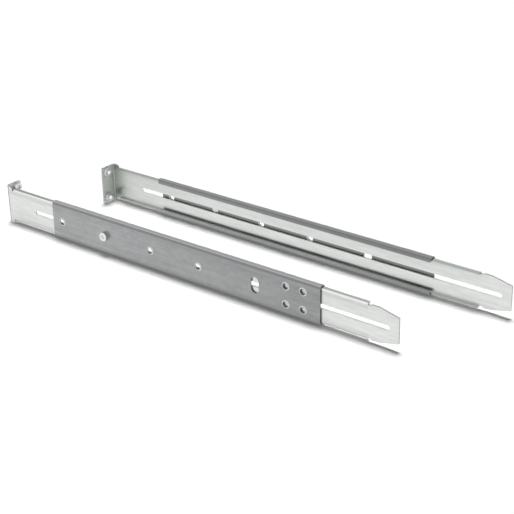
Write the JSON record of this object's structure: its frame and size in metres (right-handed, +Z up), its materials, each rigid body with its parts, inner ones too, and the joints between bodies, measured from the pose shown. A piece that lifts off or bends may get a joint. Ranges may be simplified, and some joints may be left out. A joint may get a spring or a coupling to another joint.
{
  "type": "rear rack rail kit",
  "caption": "Mirror-image pair of length-adjustable rack rails: a slotted slide rail with a bent rack ear runs inside a lipped outer channel.",
  "frame": {"origin": "centre of the pair's outline on the surface that it stands on", "axes": "+X along the rails from the rack ears to the noses, +Y from the near rail to the far rail, +Z up"},
  "size_m": [0.582, 0.134, 0.044],
  "materials": {
    "galvanised_sheet": "dull galvanised sheet, faint spangle and lengthwise grain",
    "zinc_plated_sheet": "bright zinc plate, glossy, fine lengthwise grain",
    "zinc_plated_nut": "bright zinc plate, turned"
  },
  "bodies": {
    "channels": {"near_channel": "galvanised_sheet", "near_lock_nut": "zinc_plated_nut", "far_channel": "galvanised_sheet", "far_lock_nut": "zinc_plated_nut"},
    "near_slide": {"near_slide_rail": "zinc_plated_sheet", "near_ear_nut_upper": "zinc_plated_nut", "near_ear_nut_lower": "zinc_plated_nut"},
    "far_slide": {"far_slide_rail": "zinc_plated_sheet", "far_ear_nut_upper": "zinc_plated_nut", "far_ear_nut_lower": "zinc_plated_nut"}
  },
  "joints": [
    {"name": "near_extension", "type": "slide", "parent": "channels", "child": "near_slide", "axis": [-1, 0, 0], "range_m": [-0.066, 0.3618]},
    {"name": "far_extension", "type": "slide", "parent": "channels", "child": "far_slide", "axis": [-1, 0, 0], "range_m": [-0.066, 0.3618]}
  ]
}
